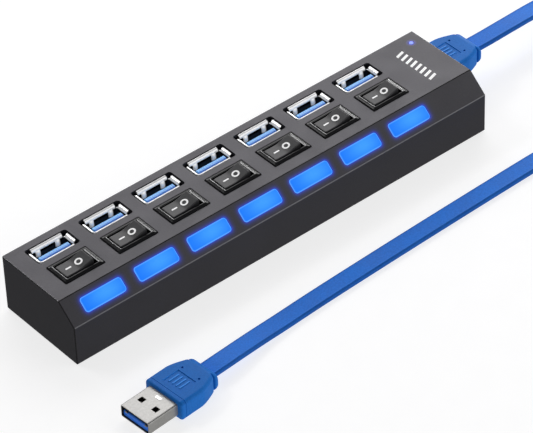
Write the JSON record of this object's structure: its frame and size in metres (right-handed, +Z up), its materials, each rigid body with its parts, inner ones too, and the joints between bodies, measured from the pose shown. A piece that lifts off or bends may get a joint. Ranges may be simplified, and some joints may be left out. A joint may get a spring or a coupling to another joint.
{
  "type": "usb hub",
  "caption": "Long black USB hub with a row of ports and rocker switches on top, lit blue windows on a sloped front edge, and a flat blue cable with a Type-A plug.",
  "frame": {"origin": "middle of the housing's footprint, on the surface that it stands on", "axes": "+X along the housing towards the cable end, +Y from the sloped front edge with the lit windows to the back face with the ports, +Z up"},
  "size_m": [0.2942, 0.0745, 0.0229],
  "materials": {
    "shell_plastic": "fine-grained satin ABS",
    "base_plastic": "fine-grained ABS",
    "screw_steel": "zinc plated",
    "foot_rubber": "matte",
    "board_green": "solder mask",
    "chip_black": "moulded epoxy",
    "part_metal": "satin can",
    "power_blue": "clear light pipe",
    "lamp_clear": "tinted clear epoxy",
    "lead_tin": "tinned",
    "window_blue": "lit translucent blue",
    "port_steel": "nickel-plated sheet",
    "port_blue": "moulded PBT",
    "contact_gold": "gold flash",
    "bezel_black": "satin nylon",
    "rocker_grey": "satin nylon",
    "header_nylon": "natural nylon",
    "lead_wire": "coloured insulation, one colour standing for six",
    "grip_blue": "soft moulded PVC",
    "cable_blue": "flat PVC jacket",
    "plug_steel": "satin nickel-plated sheet",
    "plug_blue": "moulded PBT"
  },
  "bodies": {
    "root": {"top_shell": "shell_plastic", "bottom_cover": "base_plastic", "case_screws": "screw_steel", "rubber_feet": "foot_rubber", "main_board": "board_green", "hub_chips": "chip_black", "board_parts": "part_metal", "power_lamp": "power_blue", "power_light_pipe": "power_blue", "port_lamps": "lamp_clear", "lamp_leads": "lead_tin", "switch_terminals": "lead_tin", "lit_window_1": "window_blue", "lit_window_2": "window_blue", "lit_window_3": "window_blue", "lit_window_4": "window_blue", "lit_window_5": "window_blue", "lit_window_6": "window_blue", "lit_window_7": "window_blue", "port_shell_1": "port_steel", "port_shell_2": "port_steel", "port_shell_3": "port_steel", "port_shell_4": "port_steel", "port_shell_5": "port_steel", "port_shell_6": "port_steel", "port_shell_7": "port_steel", "port_tongue_1": "port_blue", "port_tongue_2": "port_blue", "port_tongue_3": "port_blue", "port_tongue_4": "port_blue", "port_tongue_5": "port_blue", "port_tongue_6": "port_blue", "port_tongue_7": "port_blue", "port_contacts": "contact_gold", "plug_contacts": "contact_gold", "switch_body_1": "bezel_black", "switch_body_2": "bezel_black", "switch_body_3": "bezel_black", "switch_body_4": "bezel_black", "switch_body_5": "bezel_black", "switch_body_6": "bezel_black", "switch_body_7": "bezel_black", "cable_header": "header_nylon", "cable_leads": "lead_wire", "housing_grip": "grip_blue", "plug_grip": "grip_blue", "cable": "cable_blue", "plug_shell": "plug_steel", "plug_insulator": "plug_blue"},
    "rocker_1": {"rocker_1": "rocker_grey"},
    "rocker_2": {"rocker_2": "rocker_grey"},
    "rocker_3": {"rocker_3": "rocker_grey"},
    "rocker_4": {"rocker_4": "rocker_grey"},
    "rocker_5": {"rocker_5": "rocker_grey"},
    "rocker_6": {"rocker_6": "rocker_grey"},
    "rocker_7": {"rocker_7": "rocker_grey"}
  },
  "joints": [
    {"name": "rocker_1_hinge", "type": "hinge", "parent": "root", "child": "rocker_1", "pos_m": [-0.069, -0.0008, 0.0184], "axis": [0, 1, 0], "range_deg": [0, 16]},
    {"name": "rocker_2_hinge", "type": "hinge", "parent": "root", "child": "rocker_2", "pos_m": [-0.0486, -0.0008, 0.0184], "axis": [0, 1, 0], "range_deg": [0, 16]},
    {"name": "rocker_3_hinge", "type": "hinge", "parent": "root", "child": "rocker_3", "pos_m": [-0.0282, -0.0008, 0.0184], "axis": [0, 1, 0], "range_deg": [0, 16]},
    {"name": "rocker_4_hinge", "type": "hinge", "parent": "root", "child": "rocker_4", "pos_m": [-0.0078, -0.0008, 0.0184], "axis": [0, 1, 0], "range_deg": [0, 16]},
    {"name": "rocker_5_hinge", "type": "hinge", "parent": "root", "child": "rocker_5", "pos_m": [0.0126, -0.0008, 0.0184], "axis": [0, 1, 0], "range_deg": [0, 16]},
    {"name": "rocker_6_hinge", "type": "hinge", "parent": "root", "child": "rocker_6", "pos_m": [0.033, -0.0008, 0.0184], "axis": [0, 1, 0], "range_deg": [0, 16]},
    {"name": "rocker_7_hinge", "type": "hinge", "parent": "root", "child": "rocker_7", "pos_m": [0.0534, -0.0008, 0.0184], "axis": [0, 1, 0], "range_deg": [0, 16]}
  ]
}
